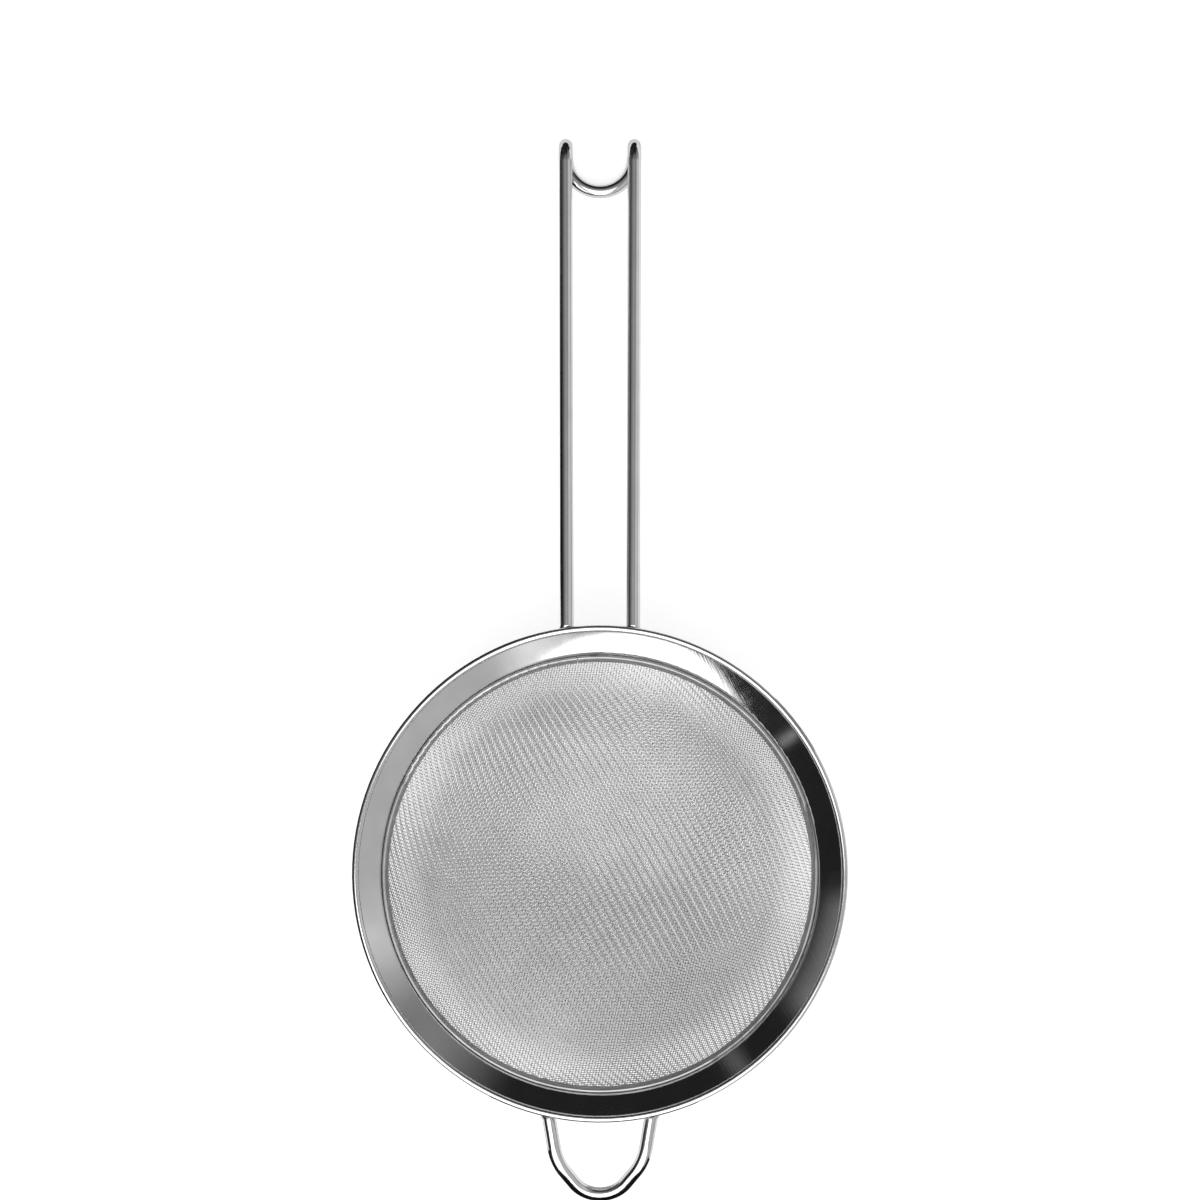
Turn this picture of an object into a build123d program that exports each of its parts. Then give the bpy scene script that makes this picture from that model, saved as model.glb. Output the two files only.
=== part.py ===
from build123d import *
import os
from math import asin, atan, atan2, ceil, copysign, cos, hypot, pi, radians, sin, sqrt, tan

os.makedirs("parts", exist_ok=True)

# Fine-mesh kitchen strainer: a round bowl of woven wire cloth in a wide sloped collar,
# with a hooked wire handle and a wire rest loop opposite. Millimetres and degrees.
# The origin is on the bowl's axis, in the plane in which the undersides of the handle
# and the loop lie on a pot's rim. +Y runs along the handle, +Z up out of the bowl.

# Rim sizes, with the collar's width from the bead's outside in to the mouth
rim_diameter = 180.0
collar_width = 12.7
bead_diameter = 2.5
collar_sheet = 0.6
collar_slope = 38.0
collar_bend_radius = 3.4
curl_slit_start = 206.0
curl_slit_sweep = 30.0

# Wire cloth and its clamp ring
cloth_wire_diameter = 0.32
crown_radius = 105.0
crown_half_angle = 17.0
side_slope = 69.0
grid_pitch = 15.6
grid_bar_width = 4.5
grid_heading = -15.5
grid_edge_margin = 1.2
ring_sheet = 0.35
ring_leg_height = 2.5
ring_seam_gap = 0.3
ring_seam_angle = 6.1

# Handle, with its length from the rim's outside to the hook, and its legs' spacing at the rim
handle_wire_diameter = 5.0
handle_length = 186.8
handle_root_spacing = 24.4
handle_tip_spacing = 25.9
hook_bend_radius = 8.0
hook_return_reach = 15.6
hook_corner_count = 9
bend_run_share = 0.49

# Rest loop, with its legs' length from the rim to the knees and its end's beyond them
loop_wire_diameter = 5.0
loop_leg_length = 13.9
loop_end_length = 14.4
loop_root_spacing = 36.8
loop_knee_spacing = 31.4
loop_knee_radius = 15.5
loop_end_radius = 11.4
loop_dip_angle = 30.0

# Pressed feet, where the wires are welded under the collar
foot_flattening = 1.5
foot_seat_depth = 0.35
foot_press_length = 3.0
foot_press_stand_off = 0.3
foot_bend_radius = 5.0
foot_end_clearance = 1.6
foot_rounding_share = 0.8
nugget_diameter = 3.4

# Clearances, and the overrun of every cut
bead_gap = 0.15
ring_fit = 0.03
collar_fit = 0.05
weld_gap = 0.12
overrun = 5.0

# Places worked out from the sizes
rim_radius = rim_diameter / 2
mouth_radius = rim_radius - collar_width
bead_radius = bead_diameter / 2
cloth_thickness = 2 * cloth_wire_diameter
bead_centre_r = rim_radius - bead_radius
bead_centre_z = handle_wire_diameter + bead_gap + bead_radius
groove_r = bead_centre_r - bead_radius
slope_tan = tan(radians(collar_slope))
slope_cos = cos(radians(collar_slope))
slope_sin = sin(radians(collar_slope))
side_cos = cos(radians(side_slope))
side_sin = sin(radians(side_slope))
ring_thickness = 2 * ring_sheet + 2 * ring_fit + cloth_thickness
flange_offset = ring_thickness + collar_fit
flange_height = ring_leg_height + ring_thickness / 2
flange_top_r = mouth_radius + side_sin * flange_offset + side_cos * flange_height
handle_reach = rim_radius + handle_length
loop_knee_reach = rim_radius + loop_leg_length


def collar_top_z(r):
    """Height of the collar's upper face at radius r."""
    return bead_centre_z - (groove_r - r) * slope_tan


def collar_under_z(r, depth):
    """Height of a surface that lies a depth under the collar's lower face."""
    return collar_top_z(r) - (collar_sheet + depth) / slope_cos


flange_top_z = collar_top_z(flange_top_r)
mouth_z = flange_top_z - side_sin * flange_height + side_cos * flange_offset
section = Plane.XZ

# Arcs of the cloth's inner face: a shallow crown, then a rounder side up to the ring
cloth_edge_r = mouth_radius + side_sin * (ring_sheet + ring_fit)
cloth_edge_z = mouth_z - side_cos * (ring_sheet + ring_fit)
crown_sin = sin(radians(crown_half_angle))
crown_cos = cos(radians(crown_half_angle))
crown_run = crown_radius * radians(crown_half_angle)
side_radius = (cloth_edge_r - crown_radius * crown_sin) / (side_sin - crown_sin)
side_centre_r = cloth_edge_r - side_radius * side_sin
side_centre_z = cloth_edge_z + side_radius * side_cos
crown_centre_z = side_centre_z + (crown_radius - side_radius) * crown_cos
cloth_run = crown_run + side_radius * radians(side_slope - crown_half_angle)

# The clamp channel's own plane: local X out through the cloth, local Y up its side
channel_plane = Plane(
    origin=(mouth_radius, 0, mouth_z),
    x_dir=(side_sin, 0, -side_cos),
    z_dir=(0, -1, 0),
)


def channel_point(out, up):
    """Radius and height of a point given out from and up the mouth's inner face."""
    return (
        mouth_radius + side_sin * out + side_cos * up,
        mouth_z - side_cos * out + side_sin * up,
    )


def slab(points):
    """Flat section face through points given as radius and height."""
    return section * make_face(Polyline(*points, close=True))


def turned(face):
    """Full turn of a section about the bowl's axis."""
    return revolve(face, axis=Axis.Z)


def rim_collar():
    """Sloped collar with its flange round the cloth and its outward curled bead."""
    corner = (flange_top_r, flange_top_z)
    flange_foot = channel_point(flange_offset, 0)
    outer_foot = channel_point(flange_offset + collar_sheet, 0)
    sheet_end_r = groove_r + collar_sheet / 4
    sheet_end = (sheet_end_r, collar_top_z(sheet_end_r))
    sheet_end_under = (
        sheet_end[0] + collar_sheet * slope_sin,
        sheet_end[1] - collar_sheet * slope_cos,
    )
    outer_out = flange_offset + collar_sheet
    reach = tan(radians((side_slope - collar_slope) / 2)) * collar_sheet
    outer_corner = channel_point(outer_out, flange_height - reach)
    outline = [corner, sheet_end, sheet_end_under, outer_corner, outer_foot, flange_foot]
    sheet = slab(outline)
    bends = sheet.vertices().sort_by_distance((corner[0], 0, corner[1]))
    sheet = fillet(bends[0], collar_bend_radius + collar_sheet)
    bends = sheet.vertices().sort_by_distance((outer_corner[0], 0, outer_corner[1]))
    sheet = fillet(bends[0], collar_bend_radius)
    slit_edge = [
        (
            bead_centre_r + bead_diameter * cos(radians(curl_slit_start + turn)),
            bead_centre_z + bead_diameter * sin(radians(curl_slit_start + turn)),
        )
        for turn in (0, curl_slit_sweep)
    ]
    bead_plane = section * Pos(bead_centre_r, bead_centre_z)
    curl = bead_plane * (Circle(bead_radius) - Circle(bead_radius - collar_sheet))
    curl -= slab([(bead_centre_r, bead_centre_z)] + slit_edge)
    return turned(sheet + curl)


def clamp_ring():
    """Strip folded down over the cloth's edge, with its ends butted at one seam."""
    legs = channel_plane * Rectangle(
        ring_thickness, ring_leg_height, align=(Align.MIN, Align.MIN)
    )
    fold_plane = channel_plane * Pos(ring_thickness / 2, ring_leg_height)
    slot = fold_plane * Rectangle(
        ring_thickness - 2 * ring_sheet, 2 * ring_leg_height
    )
    fold = fold_plane * Circle(ring_thickness / 2)
    hollow = fold_plane * Circle(ring_thickness / 2 - ring_sheet)
    below = channel_plane * Pos(0, -overrun) * Rectangle(
        ring_thickness, overrun, align=(Align.MIN, Align.MIN)
    )
    lower_slot = slot & (legs + below)
    ring = turned((legs + fold) - lower_slot - hollow)
    seam = Pos(0, mouth_radius, mouth_z) * Box(
        ring_seam_gap, 2 * ring_thickness + overrun, 2 * overrun
    )
    return ring - Rot(0, 0, ring_seam_angle) * seam


def cloth_in_plan(across, along):
    """Place in plan of a point given by its distances on the cloth while it was flat."""
    run = hypot(across, along)
    r = crown_radius * sin(run / crown_radius)
    if run > crown_run:
        slope = radians(crown_half_angle) + (run - crown_run) / side_radius
        r = side_centre_r + side_radius * sin(min(slope, pi / 2))
    return across * r / run, along * r / run


def grid_openings():
    """Openings of a plain grid on the bowl, which stand in for those of the weave."""
    half_opening = (grid_pitch - grid_bar_width) / 2
    field = Circle(cloth_edge_r - grid_edge_margin)
    count = ceil(cloth_run / grid_pitch)
    middles = [(number + 1 / 2) * grid_pitch for number in range(-count, count)]
    start_z = crown_centre_z - crown_radius - cloth_thickness - overrun
    place = Pos(0, 0, start_z) * Rot(0, 0, grid_heading)
    openings = []
    for across in middles:
        for along in middles:
            if hypot(across, along) > cloth_run - half_opening:
                continue
            corners = [
                cloth_in_plan(across + side_x * half_opening, along + side_y * half_opening)
                for side_x, side_y in ((-1, -1), (1, -1), (1, 1), (-1, 1))
            ]
            opening = make_face(Polyline(*corners, close=True)) & field
            openings.append(place * extrude(opening, amount=mouth_z - start_z))
    return openings


def mesh_bowl():
    """Wire cloth as one shell with a grid of openings, from the crown to its channel."""
    inner_out = ring_sheet + ring_fit
    side_centre = (side_centre_r, side_centre_z)
    side_sweep = side_slope - crown_half_angle
    hem_height = ring_leg_height - ring_fit
    edges = []
    for out in (0, cloth_thickness):
        edges.append(
            CenterArc((0, crown_centre_z), crown_radius + out, -90, crown_half_angle)
        )
        edges.append(
            CenterArc(side_centre, side_radius + out, crown_half_angle - 90, side_sweep)
        )
        edges.append(
            Line(channel_point(inner_out + out, 0), channel_point(inner_out + out, hem_height))
        )
    edges.append(
        Line(
            channel_point(inner_out, hem_height),
            channel_point(inner_out + cloth_thickness, hem_height),
        )
    )
    bottom_z = crown_centre_z - crown_radius
    edges.append(Line((0, bottom_z), (0, bottom_z - cloth_thickness)))
    return turned(section * make_face(edges)) - grid_openings()


def bent_path(points):
    """Straight runs joined by tangent arcs, each as large as its two runs allow."""
    corners = [Vector(point) for point in points]
    radii = []
    for before, corner, after in zip(corners, corners[1:], corners[2:]):
        turn = radians((corner - before).get_angle(after - corner))
        run = min((corner - before).length, (after - corner).length)
        radii.append(bend_run_share * run / tan(turn / 2))
    return FilletPolyline(*corners, radius=radii)


def foot_bend(root, wire_radius):
    """Where a wire's level line turns down the collar: the point and the slope there.

    root is the point in plan where the wire crosses the rim's outside, and the level
    unit vector from there toward the bowl.
    """
    crossing, heading = root
    half_foot = wire_radius - foot_flattening / 2
    depth = weld_gap + half_foot - foot_seat_depth
    bend_r = groove_r - (collar_under_z(groove_r, depth) - wire_radius) / slope_tan
    inward = -crossing.dot(heading)
    travel = inward - sqrt(inward**2 - rim_radius**2 + bend_r**2)
    slope = atan(slope_tan * (inward - travel) / bend_r)
    return crossing + heading * travel + Vector(0, 0, wire_radius), slope


def wire_foot(root, wire_radius):
    """Pressed end of a wire: round to oval, bent down the collar and cut to its cone."""
    heading = root[1]
    half_foot = wire_radius - foot_flattening / 2
    half_width = wire_radius**2 / half_foot
    sharpest_radius = half_foot**2 / half_width
    bend, slope = foot_bend(root, wire_radius)
    bend_run = foot_bend_radius * tan(slope / 2)
    press_end = bend - heading * (bend_run + foot_press_stand_off)
    press_start = press_end - heading * foot_press_length
    down_slope = heading * cos(slope) - Vector(0, 0, sin(slope))
    end_r = flange_top_r + collar_sheet + foot_end_clearance
    foot_run = (hypot(bend.X, bend.Y) - end_r) / cos(slope)
    across = Vector(heading.Y, -heading.X, 0)
    start_plane = Plane(origin=press_start, x_dir=across, z_dir=heading)
    end_plane = Plane(origin=press_end, x_dir=across, z_dir=heading)
    oval = end_plane * Ellipse(half_width, half_foot)
    neck = loft([start_plane * Circle(wire_radius), oval])
    path = FilletPolyline(press_end, bend, bend + down_slope * foot_run, radius=foot_bend_radius)
    foot = sweep(oval, path=path)
    tip = foot.faces().sort_by_distance(path @ 1)[0]
    foot = fillet(tip.edges(), foot_rounding_share * sharpest_radius)
    return press_start, neck + foot


def under_collar(near, far, start_r, end_r):
    """Ring under the collar between two depths below its lower face."""
    return turned(
        slab(
            [
                (start_r, collar_under_z(start_r, far)),
                (end_r, collar_under_z(end_r, far)),
                (end_r, collar_under_z(end_r, near)),
                (start_r, collar_under_z(start_r, near)),
            ]
        )
    )


def seated(wire):
    """Wire with its feet cut to the collar's cone, one weld gap under it."""
    seat = under_collar(-overrun, weld_gap, mouth_radius, rim_radius)
    return wire - seat


def wire_roots(root_spacing, far_spacing, far_y):
    """Rim crossings and headings of a wire's two legs, from their spacing there and afar."""
    root_y = copysign(sqrt(rim_radius**2 - (root_spacing / 2) ** 2), far_y)
    roots = []
    for side in (-1, 1):
        crossing = Vector(side * root_spacing / 2, root_y, 0)
        far_end = Vector(side * far_spacing / 2, far_y, 0)
        roots.append((crossing, (crossing - far_end).normalized()))
    return roots


def handle_roots():
    """Rim crossings and headings of the handle's two legs."""
    return wire_roots(handle_root_spacing, handle_tip_spacing, handle_reach)


def loop_roots():
    """Rim crossings and headings of the loop's two legs."""
    return wire_roots(loop_root_spacing, loop_knee_spacing, -loop_knee_reach)


def hook_corners():
    """Corners of one half of the hook: a flat U end wrapped round a level former."""
    half_spacing = handle_tip_spacing / 2
    wire_radius = handle_wire_diameter / 2
    bend_y = handle_reach - wire_radius - hook_bend_radius
    apex_run = pi * hook_bend_radius + hook_return_reach - hook_bend_radius
    arc_start = apex_run - half_spacing
    flat_length = arc_start + half_spacing * pi / 2
    step = flat_length / hook_corner_count
    corner_radius = hook_bend_radius / cos(step / 2 / hook_bend_radius)
    corners = []
    for number in range(hook_corner_count):
        run = (number + 1 / 2) * step
        side_x = half_spacing
        if run > arc_start:
            arc = (run - arc_start) / half_spacing
            side_x = half_spacing * cos(arc)
            run = arc_start + half_spacing * sin(arc)
        turn = min(run / hook_bend_radius, pi)
        back = max(run - pi * hook_bend_radius, 0)
        radius = corner_radius if turn < pi else hook_bend_radius
        corners.append(
            (
                side_x,
                bend_y + radius * sin(turn) - back,
                wire_radius - hook_bend_radius + radius * cos(turn),
            )
        )
    return corners


def handle_wire():
    """One wire: two legs, the hook at their ends and the pressed feet at the rim."""
    feet = [wire_foot(root, handle_wire_diameter / 2) for root in handle_roots()]
    half = hook_corners()
    left = [(-x, y, z) for x, y, z in half]
    corners = [feet[0][0]] + left + half[::-1] + [feet[1][0]]
    path = bent_path(corners)
    profile = Plane(origin=path @ 0, z_dir=path % 0) * Circle(handle_wire_diameter / 2)
    return seated(sweep(profile, path=path) + feet[0][1] + feet[1][1])


def rest_loop():
    """One wire: two level legs, a knee in each and a rounded end that dips."""
    wire_radius = loop_wire_diameter / 2
    feet = [wire_foot(root, wire_radius) for root in loop_roots()]
    knee_x = loop_knee_spacing / 2
    dip_tan = tan(radians(loop_dip_angle))
    dip_cos = cos(radians(loop_dip_angle))
    end_run = (loop_end_length - wire_radius) / dip_cos
    # Each dipping run leaves its knee as a tangent of the end's arc
    arc_run = end_run - loop_end_radius
    lean = asin(loop_end_radius / hypot(knee_x, arc_run))
    meet_run = knee_x / tan(atan2(knee_x, arc_run) - lean)
    meet_y = loop_knee_reach + meet_run * dip_cos
    meet_z = wire_radius - meet_run * dip_cos * dip_tan
    knees = [(side * knee_x, -loop_knee_reach, wire_radius) for side in (-1, 1)]
    path = FilletPolyline(
        feet[0][0],
        knees[0],
        (0, -meet_y, meet_z),
        knees[1],
        feet[1][0],
        radius=[loop_knee_radius, loop_end_radius, loop_knee_radius],
    )
    profile = Plane(origin=path @ 0, z_dir=path % 0) * Circle(wire_radius)
    return seated(sweep(profile, path=path) + feet[0][1] + feet[1][1])


def weld_nuggets(roots, wire_radius):
    """Weld nuggets that fill the gap between each foot and the collar."""
    gap = under_collar(0, weld_gap, mouth_radius, rim_radius)
    end_r = flange_top_r + collar_sheet + foot_end_clearance
    nuggets = []
    for root in roots:
        bend, slope = foot_bend(root, wire_radius)
        middle = bend + root[1] * ((hypot(bend.X, bend.Y) - end_r) / 2)
        middle_r = hypot(middle.X, middle.Y)
        outward = Vector(middle.X / middle_r, middle.Y / middle_r, 0)
        normal = Vector(-outward.X * slope_sin, -outward.Y * slope_sin, slope_cos)
        place = Plane(
            origin=(middle.X, middle.Y, collar_under_z(middle_r, 0)), z_dir=normal
        )
        nuggets.append(place * Cylinder(nugget_diameter / 2, bead_diameter) & gap)
    return Compound(children=[nugget.solid() for nugget in nuggets])


nodes = {
    "rim_collar": rim_collar(),
    "clamp_ring": clamp_ring(),
    "mesh_bowl": mesh_bowl(),
    "handle_wire": handle_wire(),
    "rest_loop": rest_loop(),
    "handle_welds": weld_nuggets(handle_roots(), handle_wire_diameter / 2),
    "loop_welds": weld_nuggets(loop_roots(), loop_wire_diameter / 2),
}
for name, piece in nodes.items():
    export_step(piece, f"parts/{name}.step")
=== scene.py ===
import math

import bmesh
import bpy
import numpy as np
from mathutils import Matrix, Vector


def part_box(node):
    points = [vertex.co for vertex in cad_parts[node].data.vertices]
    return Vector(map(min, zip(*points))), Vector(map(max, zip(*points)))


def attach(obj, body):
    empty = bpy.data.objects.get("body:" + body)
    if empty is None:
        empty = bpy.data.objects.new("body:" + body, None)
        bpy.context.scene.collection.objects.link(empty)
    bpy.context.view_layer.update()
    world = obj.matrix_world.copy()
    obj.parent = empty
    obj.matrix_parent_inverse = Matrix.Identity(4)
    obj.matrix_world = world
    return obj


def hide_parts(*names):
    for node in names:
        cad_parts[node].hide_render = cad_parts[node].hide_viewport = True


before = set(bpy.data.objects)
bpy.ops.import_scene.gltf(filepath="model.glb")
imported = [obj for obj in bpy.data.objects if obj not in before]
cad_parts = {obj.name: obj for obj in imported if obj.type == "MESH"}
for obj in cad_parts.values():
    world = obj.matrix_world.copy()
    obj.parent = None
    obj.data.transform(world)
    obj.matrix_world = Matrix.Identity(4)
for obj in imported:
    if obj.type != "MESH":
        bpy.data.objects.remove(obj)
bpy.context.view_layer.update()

# Round-bowl strainer of woven wire cloth, lying on a table with its bowl and its hook touching.
# Metres and degrees, in the part's own frame: +Y runs along the handle, +Z up out of the bowl.

# Camera, looking square onto the table
camera_place = (0.0, -0.04875, 1.0981)
camera_focal_pixels = 3000
image_width_pixels = 1200
sensor_width_mm = 36

# Woven cloth: 2/2 twill pressed into the bowl, wires laid from its middle
wire_diameter = 0.00032
first_pitch = 0.001088
second_pitch = 0.001123
first_heading = -18.0
second_heading = -103.0
crown_radius = 0.105
crown_half_angle = 17.0
side_slope = 69.0
hem_height = 0.00247
hem_end_margin = 0.0002
twill_float = 2
wire_side_count = 6
rings_per_pitch = 4
shortest_strand = 4
strands_per_piece = 20

# Net solver, which finds each crossing one pitch from its two neighbours
solver_rounds = 12
solver_step = 1e-7
solver_floor = 1e-16
smallest_length = 1e-12
net_margin = 4

# Steels: darkest and lightest grey, and least and most roughness
steel_finishes = {
    "collar": ((0.60, 0.66), (0.07, 0.12)),
    "ring": ((0.38, 0.50), (0.38, 0.48)),
    "wire": ((0.60, 0.66), (0.10, 0.17)),
    "weld": ((0.38, 0.50), (0.35, 0.50)),
    "cloth": ((0.66, 0.76), (0.12, 0.20)),
}

# Noises in the steels: grain sizes along three axes, detail and seed
steel_noises = {
    "tone": ((0.012, 0.012, 0.012), 3, 3.1),
    "smudge": ((0.007, 0.007, 0.007), 4, 8.3),
    "collar_grain": ((0.010, 0.0005, 0), 1, 1.7),
    "collar_waves": ((0.02, 0.02, 0.02), 1, 5.9),
    "ring_lines": ((0.00015, 0.3, 0.00015), 2, 2.3),
    "wire_lines": ((0.02, 0.0006, 0.0006), 2, 4.7),
    "weld_grains": ((0.0004, 0.0004, 0.0004), 3, 6.1),
    "cloth_grains": ((0.0003, 0.0003, 0.0003), 1, 7.7),
}
noise_low = 0.3
noise_high = 0.7
ring_line_depth = 0.000004
wire_line_depth = 0.000006
weld_grain_depth = 0.00003
cloth_grain_depth = 0.000004
wire_heading = 90

# How much of a steel's full glint is left at a grazing angle
edge_tint = 0.65

# Collar: grain of the rubbed sheet, and its slight dish and waves
rub_heading = -62.0
grain_depth = 0.000008
wave_depth = 0.00005
collar_middle_radius = 0.0838
collar_dish = 4.8

# Table plane, from the hook that it touches
hook_wrap_radius = 0.0105
table_half_size = 1.0
table_gap = 0.0001
table_white = 0.5
table_glow = 0.68
# Painted shade under the bowl: a soft disc where the table loses its glow and takes shade_white as its
# colour
shade_white = 0.75
shade_middle = -0.012
shade_radius = 0.072
shade_soft = 0.008

# Studio: one large softbox from overhead down toward the loop, in a dim room
softbox_heading = -103.0
softbox_elevation = 54.9
softbox_distance = 2.0
softbox_diameter = 3.03
softbox_radiance = 2.3
room_radius = 4.0
room_subdivisions = 4
room_base = 0.02

# Dark cards that stand beside the strainer, so that its bright edges don't run into the white table
card_grey = 0.02
card_height = 0.06
rim_card_radius = 0.125
rim_card_step = 5
rim_cards = ((30, 48, 0.004), (112, 212, 0.020))
side_cards = (
    ((-0.047, 0.116), (-0.052, 0.31), (0.03, 0.31), 0.014),
    ((-0.055, -0.110), (-0.040, -0.145), (0.045, -0.145), (0.052, -0.120), 0.013),
)

# Flag that hides the softbox's lower part from the loop
flag_line = ((-0.052, -0.150), (-0.045, -0.160), (0.045, -0.160), (0.052, -0.150))
flag_low = 0.003
flag_top = 0.032

# Room surfaces: middle heading and elevation, half sizes and soft edge in degrees, brightness
room_patches = {
    "ceiling": (0, 90, 400, 30, 25, 0.45),
    "right_wall": (-26, 30, 54, 30, 12, 0.60),
    "softbox_side": (-76, 22, 10, 16, 8, 0.55),
    "right_rear_wall": (36, 10, 22, 40, 12, 0.27),
    "left_window": (180, 45, 40, 12, 12, 0.14),
    "left_rear_screen": (157, 12, 14, 6, 5, 0.24),
    "rear_door_gap": (124, 18, 2, 10, 2, 0.12),
    "left_front_gap": (-147, 20, 1, 3, 1.2, 0.4),
}


def profile_of_bowl():
    """Arc centres, radii and lengths of the cloth's middle surface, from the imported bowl's box."""
    low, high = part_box("mesh_bowl")
    half = wire_diameter
    slope_cos = math.cos(math.radians(side_slope))
    slope_sin = math.sin(math.radians(side_slope))
    crown = math.radians(crown_half_angle)
    middle_crown_radius = crown_radius + half
    edge_r = high.x - slope_cos * hem_height - slope_sin * half
    side_radius = (edge_r - middle_crown_radius * math.sin(crown)) / (slope_sin - math.sin(crown))
    crown_centre_z = low.z + half + middle_crown_radius
    side_centre_r = (middle_crown_radius - side_radius) * math.sin(crown)
    side_centre_z = crown_centre_z - (middle_crown_radius - side_radius) * math.cos(crown)
    return {
        "crown_radius": middle_crown_radius,
        "crown_centre_z": crown_centre_z,
        "side_radius": side_radius,
        "side_centre_r": side_centre_r,
        "side_centre_z": side_centre_z,
        "crown_length": middle_crown_radius * crown,
        "side_length": side_radius * (math.radians(side_slope) - crown),
    }


bowl = profile_of_bowl()


def on_bowl(flat):
    """Points and upward normals on the cloth for flat places: distance from the middle, and heading."""
    run = np.maximum(np.hypot(flat[..., 0], flat[..., 1]), smallest_length)
    heading = flat / run[..., None]
    crown = math.radians(crown_half_angle)
    slope = np.where(
        run < bowl["crown_length"],
        run / bowl["crown_radius"],
        crown + (run - bowl["crown_length"]) / bowl["side_radius"],
    )
    slope = np.minimum(slope, math.radians(side_slope))
    past = np.maximum(run - bowl["crown_length"] - bowl["side_length"], 0)
    on_crown = run < bowl["crown_length"]
    radius = np.where(on_crown, bowl["crown_radius"], bowl["side_radius"])
    centre_r = np.where(on_crown, 0, bowl["side_centre_r"])
    centre_z = np.where(on_crown, bowl["crown_centre_z"], bowl["side_centre_z"])
    r = centre_r + radius * np.sin(slope) + past * math.cos(math.radians(side_slope))
    z = centre_z - radius * np.cos(slope) + past * math.sin(math.radians(side_slope))
    points = np.concatenate([heading * r[..., None], z[..., None]], axis=-1)
    normals = np.concatenate(
        [-heading * np.sin(slope)[..., None], np.cos(slope)[..., None]], axis=-1
    )
    return points, normals


def net_corner(first_point, second_point, guess):
    """Flat place on the bowl, one pitch from each of two neighbours in the net."""
    flat = guess.copy()
    for _ in range(solver_rounds):
        here, _ = on_bowl(flat)
        along_x = (on_bowl(flat + [solver_step, 0])[0] - here) / solver_step
        along_y = (on_bowl(flat + [0, solver_step])[0] - here) / solver_step
        from_first = here - first_point
        from_second = here - second_point
        miss_a = (from_first**2).sum(-1) - first_pitch**2
        miss_b = (from_second**2).sum(-1) - second_pitch**2
        a_x = 2 * (from_first * along_x).sum(-1)
        a_y = 2 * (from_first * along_y).sum(-1)
        b_x = 2 * (from_second * along_x).sum(-1)
        b_y = 2 * (from_second * along_y).sum(-1)
        scale = a_x * b_y - a_y * b_x
        scale = np.where(np.abs(scale) < solver_floor, solver_floor, scale)
        move_x = (miss_a * b_y - miss_b * a_y) / scale
        move_y = (miss_b * a_x - miss_a * b_x) / scale
        move = np.stack([move_x, move_y], axis=-1)
        size = np.maximum(np.linalg.norm(move, axis=-1, keepdims=True), smallest_length)
        flat -= move * np.minimum(1, first_pitch / size)
    return flat


def cloth_net():
    """Flat places of all crossings: two fixed meridians, then equal steps between neighbours."""
    reach = bowl["crown_length"] + bowl["side_length"] + hem_height
    first_count = math.ceil(reach / first_pitch) + 1
    second_count = math.ceil(reach / second_pitch) + 1
    flat = np.full((2 * first_count + 1, 2 * second_count + 1, 2), np.nan)
    angles = [math.radians(first_heading), math.radians(second_heading)]
    first_way, second_way = [np.array([math.cos(a), math.sin(a)]) for a in angles]
    for m in range(-first_count, first_count + 1):
        flat[m + first_count, second_count] = first_way * first_pitch * m
    for n in range(-second_count, second_count + 1):
        flat[first_count, n + second_count] = second_way * second_pitch * n
    for sign_m in (-1, 1):
        for sign_n in (-1, 1):
            for total in range(2, first_count + second_count + 1):
                m = np.arange(max(1, total - second_count), min(first_count, total - 1) + 1)
                n = total - m
                i = first_count + sign_m * m
                j = second_count + sign_n * n
                before_m = flat[i - sign_m, j]
                before_n = flat[i, j - sign_n]
                guess = before_m + before_n - flat[i - sign_m, j - sign_n]
                inside = np.hypot(guess[:, 0], guess[:, 1]) < reach + net_margin * first_pitch
                if not inside.any():
                    continue
                i, j, guess = i[inside], j[inside], guess[inside]
                first_point, _ = on_bowl(before_m[inside])
                second_point, _ = on_bowl(before_n[inside])
                flat[i, j] = net_corner(first_point, second_point, guess)
    return flat, first_count, second_count, reach


def strand_line(flat, lifts, end_run):
    """Centreline and normals of one wire: lifted over and under, and cut off at the hem."""
    known = ~np.isnan(flat[:, 0])
    flat, lifts = flat[known], lifts[known]
    if len(flat) < shortest_strand:
        return None
    steps = np.arange((len(flat) - 1) * rings_per_pitch + 1) / rings_per_pitch
    crossings = np.arange(len(flat))
    places = np.stack([np.interp(steps, crossings, flat[:, k]) for k in (0, 1)], axis=-1)
    before = np.minimum(steps.astype(int), len(flat) - 2)
    share = (1 - np.cos(math.pi * (steps - before))) / 2
    rise = lifts[before] * (1 - share) + lifts[before + 1] * share
    inside = np.nonzero(np.hypot(places[:, 0], places[:, 1]) < end_run)[0]
    if len(inside) < shortest_strand * rings_per_pitch:
        return None
    first, last = inside[0], inside[-1]
    places, rise = places[first : last + 1], rise[first : last + 1]
    points, normals = on_bowl(places)
    return points + normals * (rise * wire_diameter / 2)[:, None], normals


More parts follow.
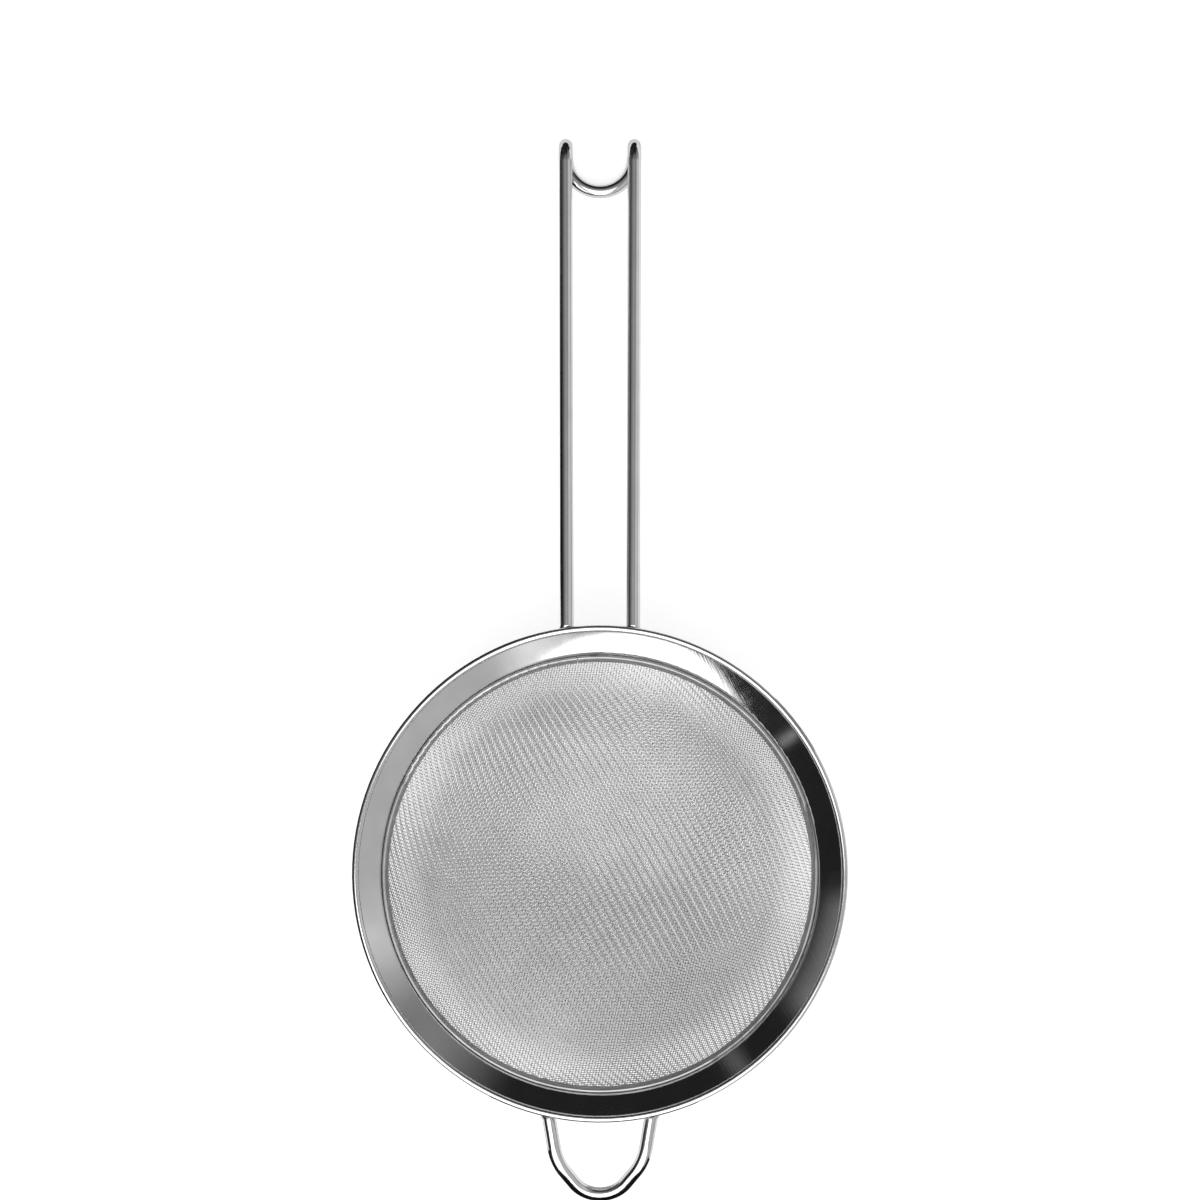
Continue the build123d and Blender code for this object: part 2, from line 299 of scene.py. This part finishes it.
def tube(points, normals):
    """Vertices and faces of a closed tube along a centreline."""
    ways = np.gradient(points, axis=0)
    ways /= np.linalg.norm(ways, axis=1, keepdims=True)
    sides = np.cross(ways, normals)
    sides /= np.linalg.norm(sides, axis=1, keepdims=True)
    ups = np.cross(sides, ways)
    turns = np.arange(wire_side_count) * 2 * math.pi / wire_side_count
    up_part = np.cos(turns)[None, :, None] * ups[:, None, :]
    side_part = np.sin(turns)[None, :, None] * sides[:, None, :]
    ring = up_part + side_part
    vertices = (points[:, None, :] + ring * wire_diameter / 2).reshape(-1, 3)
    count = len(points)
    rows = np.arange(count - 1)[:, None] * wire_side_count
    here = np.arange(wire_side_count)[None, :]
    after = (here + 1) % wire_side_count
    near_here = rows + here
    near_after = rows + after
    quads = np.stack(
        [near_here, near_after, near_after + wire_side_count, near_here + wire_side_count], axis=-1
    ).reshape(-1, 4)
    start_cap = np.arange(wire_side_count)
    end_cap = (count - 1) * wire_side_count + np.arange(wire_side_count)[::-1]
    return vertices, quads, [start_cap, end_cap]


def mesh_piece(name, tubes):
    """One object made of many closed tubes."""
    vertices, loops, sizes = [], [], []
    offset = 0
    for tube_vertices, quads, caps in tubes:
        vertices.append(tube_vertices)
        loops.append((quads + offset).ravel())
        sizes.append(np.full(len(quads), 4))
        for cap in caps:
            loops.append(cap + offset)
            sizes.append(np.array([len(cap)]))
        offset += len(tube_vertices)
    vertices = np.concatenate(vertices)
    loops = np.concatenate(loops)
    sizes = np.concatenate(sizes)
    data = bpy.data.meshes.new(name)
    data.vertices.add(len(vertices))
    data.vertices.foreach_set("co", vertices.astype(np.float32).ravel())
    data.loops.add(len(loops))
    data.loops.foreach_set("vertex_index", loops.astype(np.int32))
    data.polygons.add(len(sizes))
    starts = np.concatenate([[0], np.cumsum(sizes)[:-1]])
    data.polygons.foreach_set("loop_start", starts.astype(np.int32))
    data.polygons.foreach_set("use_smooth", sizes == 4)
    data.update(calc_edges=True)
    data.validate()
    piece = bpy.data.objects.new(name, data)
    bpy.context.scene.collection.objects.link(piece)
    return piece


def woven_cloth(material):
    """All wires of the cloth, in both directions, as pieces of some twenty wires each."""
    flat, first_count, second_count, reach = cloth_net()
    end_run = reach - hem_end_margin
    m = np.arange(-first_count, first_count + 1)
    n = np.arange(-second_count, second_count + 1)
    over = np.mod(n[None, :] - m[:, None], 2 * twill_float) < twill_float
    lift = np.where(over, 1.0, -1.0)
    families = {
        "cloth_warp": [(flat[:, j], lift[:, j]) for j in range(flat.shape[1])],
        "cloth_weft": [(flat[i], -lift[i]) for i in range(flat.shape[0])],
    }
    pieces = []
    for family, strands in families.items():
        lines = [strand_line(places, lifts, end_run) for places, lifts in strands]
        tubes = [tube(*line) for line in lines if line is not None]
        for start in range(0, len(tubes), strands_per_piece):
            name = f"{family}_{start // strands_per_piece + 1}"
            piece = mesh_piece(name, tubes[start : start + strands_per_piece])
            piece.data.materials.append(material)
            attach(piece, "root")
            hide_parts("mesh_bowl")
            pieces.append(piece)
    return pieces


def add_node(tree, kind, inputs=None, **settings):
    """New node with its settings; each input is a value or another node's output."""
    made = tree.nodes.new(kind)
    for name, value in settings.items():
        setattr(made, name, value)
    for key, value in (inputs or {}).items():
        if isinstance(value, bpy.types.NodeSocket):
            tree.links.new(value, made.inputs[key])
        else:
            made.inputs[key].default_value = value
    return made


def calculate(tree, operation, *values):
    """Output of a math node."""
    return add_node(tree, "ShaderNodeMath", dict(enumerate(values)), operation=operation).outputs[0]


def stretched_noise(tree, vector, name):
    """One of the noises in the steels, stretched along the vector's three axes."""
    sizes, detail, seed = steel_noises[name]
    scale = [1 / size if size else 0 for size in sizes]
    shift = (seed, 2 * seed, 3 * seed)
    scaled = add_node(tree, "ShaderNodeVectorMath", {0: vector, 1: scale}, operation="MULTIPLY")
    shifted = add_node(tree, "ShaderNodeVectorMath", {0: scaled.outputs[0], 1: shift})
    noise = add_node(
        tree, "ShaderNodeTexNoise", {"Vector": shifted.outputs[0], "Scale": 1, "Detail": detail}
    )
    return noise.outputs[0]


def between(tree, value, low, high):
    """Noise mapped to a range."""
    ends = {"From Min": noise_low, "From Max": noise_high, "To Min": low, "To Max": high}
    return add_node(tree, "ShaderNodeMapRange", {"Value": value, **ends}).outputs[0]


def new_material(name):
    """Empty node material with its shader, and its node tree."""
    material = bpy.data.materials.new(name)
    material.use_nodes = True
    tree = material.node_tree
    return material, tree, tree.nodes["Principled BSDF"]


def object_vector(tree, turn):
    """Place on the piece in metres, turned so that X runs along a heading."""
    place = add_node(tree, "ShaderNodeTexCoord").outputs["Object"]
    inputs = {"Vector": place, "Angle": -math.radians(turn)}
    return add_node(tree, "ShaderNodeVectorRotate", inputs, rotation_type="Z_AXIS").outputs[0]


def round_vector(tree):
    """Place on the piece as radius, distance round the axis at one metre, and height."""
    place = add_node(tree, "ShaderNodeTexCoord").outputs["Object"]
    parts = add_node(tree, "ShaderNodeSeparateXYZ", {0: place}).outputs
    across = add_node(tree, "ShaderNodeCombineXYZ", {0: parts[0], 1: parts[1]}).outputs[0]
    radius = add_node(tree, "ShaderNodeVectorMath", {0: across}, operation="LENGTH").outputs["Value"]
    turn = calculate(tree, "ARCTAN2", parts[1], parts[0])
    return add_node(tree, "ShaderNodeCombineXYZ", {0: radius, 1: turn, 2: parts[2]}).outputs[0], radius


def finish_steel(tree, shader, vector, name, height):
    """Steel whose tone and gloss vary a little over some millimetres, with its relief in metres."""
    greys, roughness = steel_finishes[name]
    grey = between(tree, stretched_noise(tree, vector, "tone"), *greys)
    colour = add_node(tree, "ShaderNodeCombineColor", {0: grey, 1: grey, 2: grey}).outputs[0]
    smudge = stretched_noise(tree, vector, "smudge")
    tree.links.new(colour, shader.inputs["Base Color"])
    tree.links.new(between(tree, smudge, *roughness), shader.inputs["Roughness"])
    shader.inputs["Metallic"].default_value = 1
    shader.inputs["Specular Tint"].default_value = (edge_tint, edge_tint, edge_tint, 1)
    bump = add_node(tree, "ShaderNodeBump", {"Height": height, "Strength": 1, "Distance": 1})
    tree.links.new(bump.outputs[0], shader.inputs["Normal"])


def collar_steel():
    """Sheet rubbed in one direction, a little dished and wavy."""
    material, tree, shader = new_material("collar_steel")
    vector = object_vector(tree, rub_heading)
    grain = stretched_noise(tree, vector, "collar_grain")
    waves = stretched_noise(tree, vector, "collar_waves")
    _, radius = round_vector(tree)
    off_middle = calculate(tree, "SUBTRACT", radius, collar_middle_radius)
    squared = calculate(tree, "MULTIPLY", off_middle, off_middle)
    dish = calculate(tree, "MULTIPLY", squared, collar_dish)
    relief = calculate(tree, "MULTIPLY_ADD", grain, grain_depth, dish)
    relief = calculate(tree, "MULTIPLY_ADD", waves, wave_depth, relief)
    finish_steel(tree, shader, vector, "collar", relief)
    return material


def ring_steel():
    """Rolled strip with fine lines along its length."""
    material, tree, shader = new_material("ring_steel")
    vector, _ = round_vector(tree)
    lines = stretched_noise(tree, vector, "ring_lines")
    relief = calculate(tree, "MULTIPLY", lines, ring_line_depth)
    finish_steel(tree, shader, object_vector(tree, 0), "ring", relief)
    return material


def wire_steel():
    """Polished drawn wire with faint lines."""
    material, tree, shader = new_material("wire_steel")
    vector = object_vector(tree, wire_heading)
    lines = stretched_noise(tree, vector, "wire_lines")
    relief = calculate(tree, "MULTIPLY", lines, wire_line_depth)
    finish_steel(tree, shader, vector, "wire", relief)
    return material


def weld_steel():
    """Dull, heat-tinted nugget."""
    material, tree, shader = new_material("weld_steel")
    vector = object_vector(tree, 0)
    grains = stretched_noise(tree, vector, "weld_grains")
    relief = calculate(tree, "MULTIPLY", grains, weld_grain_depth)
    finish_steel(tree, shader, vector, "weld", relief)
    return material


def cloth_steel():
    """Fine drawn wire, with tone and gloss that vary a little over some millimetres, and fine grains in
    its relief.
    """
    material, tree, shader = new_material("cloth_steel")
    vector = object_vector(tree, 0)
    grains = stretched_noise(tree, vector, "cloth_grains")
    relief = calculate(tree, "MULTIPLY", grains, cloth_grain_depth)
    finish_steel(tree, shader, vector, "cloth", relief)
    return material


def table_plane():
    """Point and upward normal of the plane that touches the bowl's crown and the hook."""
    _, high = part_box("handle_wire")
    hook_centre = (high.y - hook_wrap_radius, high.z - hook_wrap_radius)
    crown_outer = crown_radius + 2 * wire_diameter
    crown_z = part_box("mesh_bowl")[0].z + crown_outer
    across = hook_centre[0]
    down = crown_z - hook_centre[1]
    lean = math.asin((crown_outer - hook_wrap_radius) / math.hypot(across, down))
    tilt = lean - math.atan2(down, across)
    normal = Vector((0, -math.sin(tilt), math.cos(tilt)))
    touch = Vector((0, 0, crown_z)) - normal * (crown_outer + table_gap)
    return touch, normal, tilt


def table():
    """Pale table, white to camera, glossy and transmission rays, with a painted shade under the bowl:
    there its glow fades out and its colour changes.
    """
    touch, normal, tilt = table_plane()
    corners = [(-1, -1, 0), (1, -1, 0), (1, 1, 0), (-1, 1, 0)]
    data = bpy.data.meshes.new("table")
    data.from_pydata([Vector(corner) * table_half_size for corner in corners], [], [(0, 1, 2, 3)])
    floor = bpy.data.objects.new("table", data)
    bpy.context.scene.collection.objects.link(floor)
    floor.location = touch
    floor.rotation_euler = (tilt, 0, 0)
    material, tree, shader = new_material("table_white")
    place = add_node(tree, "ShaderNodeTexCoord").outputs["Object"]
    # Painted shade: a soft disc under the bowl, outside which the table keeps its glow
    off_middle = add_node(
        tree, "ShaderNodeVectorMath", {0: place, 1: (0, shade_middle, 0)}, operation="DISTANCE"
    ).outputs["Value"]
    edge = {"From Min": shade_radius - shade_soft, "From Max": shade_radius + shade_soft}
    clear = add_node(
        tree, "ShaderNodeMapRange", {"Value": off_middle, **edge}, interpolation_type="SMOOTHSTEP"
    ).outputs[0]
    white = calculate(tree, "MULTIPLY_ADD", clear, table_white - shade_white, shade_white)
    colour = add_node(tree, "ShaderNodeCombineColor", {0: white, 1: white, 2: white}).outputs[0]
    tree.links.new(colour, shader.inputs["Base Color"])
    shader.inputs["Roughness"].default_value = 1
    shader.inputs["Specular IOR Level"].default_value = 0
    shader.inputs["Emission Color"].default_value = (1, 1, 1, 1)
    rays = add_node(tree, "ShaderNodeLightPath").outputs
    seen = calculate(tree, "MAXIMUM", rays["Is Camera Ray"], rays["Is Glossy Ray"])
    seen = calculate(tree, "MAXIMUM", seen, rays["Is Transmission Ray"])
    glow = calculate(tree, "MULTIPLY", calculate(tree, "MULTIPLY", seen, table_glow), clear)
    tree.links.new(glow, shader.inputs["Emission Strength"])
    floor.data.materials.append(material)
    return floor


def upright_cards(name, walls, casts_shadow):
    """Dark upright cards that the strainer mirrors and the camera looks through."""
    shape = bmesh.new()
    for points, low, top in walls:
        for (x_a, y_a), (x_b, y_b) in zip(points, points[1:]):
            corners = [(x_a, y_a, low), (x_b, y_b, low), (x_b, y_b, top), (x_a, y_a, top)]
            shape.faces.new([shape.verts.new(corner) for corner in corners])
    data = bpy.data.meshes.new(name)
    shape.to_mesh(data)
    shape.free()
    cards = bpy.data.objects.new(name, data)
    bpy.context.scene.collection.objects.link(cards)
    cards.visible_camera = False
    cards.visible_diffuse = False
    cards.visible_transmission = False
    cards.visible_shadow = casts_shadow
    material, tree, shader = new_material(f"{name}_black")
    shader.inputs["Base Color"].default_value = (card_grey, card_grey, card_grey, 1)
    shader.inputs["Roughness"].default_value = 1
    shader.inputs["Specular IOR Level"].default_value = 0
    cards.data.materials.append(material)
    return cards


def dark_cards():
    """Low cards round the rim, the handle and the loop, and the flag in front of the loop."""
    walls = []
    for start, end, top in rim_cards:
        angles = [math.radians(heading) for heading in range(start, end + 1, rim_card_step)]
        ways = [(math.cos(angle), math.sin(angle)) for angle in angles]
        points = [(rim_card_radius * x, rim_card_radius * y) for x, y in ways]
        walls.append((points, top - card_height, top))
    for *points, top in side_cards:
        walls.append((points, top - card_height, top))
    upright_cards("dark_cards", walls, False)
    upright_cards("loop_flag", [(flag_line, flag_low, flag_top)], True)


def room_patch(tree, heading, elevation, patch):
    """Brightness of one soft-edged patch of the room."""
    middle_heading, middle_elevation, half_width, half_height, soft, brightness = patch
    turn = calculate(tree, "SUBTRACT", heading, middle_heading)
    aside = calculate(tree, "WRAP", turn, 180, -180)
    above = calculate(tree, "SUBTRACT", elevation, middle_elevation)
    for offset, half in ((aside, half_width), (above, half_height)):
        value = calculate(tree, "ABSOLUTE", offset)
        ends = {"From Min": half - soft, "From Max": half + soft, "To Min": 1, "To Max": 0}
        inside = add_node(
            tree, "ShaderNodeMapRange", {"Value": value, **ends}, interpolation_type="SMOOTHSTEP"
        ).outputs[0]
        brightness = calculate(tree, "MULTIPLY", brightness, inside)
    return brightness


def room():
    """Dim room round the strainer, which its metal reflects; the camera looks through it."""
    data = bpy.data.meshes.new("room")
    shape = bmesh.new()
    bmesh.ops.create_icosphere(shape, subdivisions=room_subdivisions, radius=room_radius)
    shape.to_mesh(data)
    shape.free()
    walls = bpy.data.objects.new("room", data)
    bpy.context.scene.collection.objects.link(walls)
    walls.visible_camera = False
    material = bpy.data.materials.new("room_walls")
    material.use_nodes = True
    tree = material.node_tree
    tree.nodes.clear()
    place = add_node(tree, "ShaderNodeTexCoord").outputs["Object"]
    way = add_node(tree, "ShaderNodeVectorMath", {0: place}, operation="NORMALIZE").outputs[0]
    parts = add_node(tree, "ShaderNodeSeparateXYZ", {0: way}).outputs
    heading = calculate(tree, "DEGREES", calculate(tree, "ARCTAN2", parts[1], parts[0]))
    elevation = calculate(tree, "DEGREES", calculate(tree, "ARCSINE", parts[2]))
    total = room_base
    for patch in room_patches.values():
        total = calculate(tree, "ADD", total, room_patch(tree, heading, elevation, patch))
    glow = add_node(tree, "ShaderNodeEmission", {"Strength": total})
    add_node(tree, "ShaderNodeOutputMaterial", {"Surface": glow.outputs[0]})
    material.cycles.emission_sampling = "NONE"
    walls.data.materials.append(material)
    return walls


def softbox():
    """Large round soft light."""
    data = bpy.data.lights.new("softbox", "AREA")
    data.shape = "DISK"
    data.size = softbox_diameter
    data.energy = (math.pi * softbox_diameter / 2) ** 2 * softbox_radiance
    lamp = bpy.data.objects.new("softbox", data)
    bpy.context.scene.collection.objects.link(lamp)
    heading = math.radians(softbox_heading)
    elevation = math.radians(softbox_elevation)
    level = math.cos(elevation)
    way = Vector((math.cos(heading) * level, math.sin(heading) * level, math.sin(elevation)))
    lamp.location = way * softbox_distance
    lamp.rotation_euler = way.to_track_quat("Z", "Y").to_euler()
    return lamp


def camera(tilt):
    """Camera high above, tilted to look square onto the table."""
    data = bpy.data.cameras.new("camera")
    data.sensor_width = sensor_width_mm
    data.lens = camera_focal_pixels * sensor_width_mm / image_width_pixels
    view = bpy.data.objects.new("camera", data)
    bpy.context.scene.collection.objects.link(view)
    view.location = camera_place
    view.rotation_euler = (tilt, 0, 0)
    bpy.context.scene.camera = view
    return view


def white_world():
    """White all round, beyond the table and the room."""
    world = bpy.data.worlds.new("white")
    world.use_nodes = True
    background = world.node_tree.nodes["Background"]
    background.inputs["Color"].default_value = (1, 1, 1, 1)
    background.inputs["Strength"].default_value = 1
    bpy.context.scene.world = world


def dress_nodes():
    """Give each carried-over CAD node its steel."""
    finishes = {
        "rim_collar": collar_steel(),
        "clamp_ring": ring_steel(),
        "handle_wire": wire_steel(),
        "handle_welds": weld_steel(),
    }
    finishes["rest_loop"] = finishes["handle_wire"]
    finishes["loop_welds"] = finishes["handle_welds"]
    for name, material in finishes.items():
        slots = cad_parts[name].data.materials
        slots.clear()
        slots.append(material)


dress_nodes()
woven_cloth(cloth_steel())
table()
dark_cards()
room()
softbox()
white_world()
camera(table_plane()[2])

bpy.context.scene.view_settings.view_transform = "Standard"
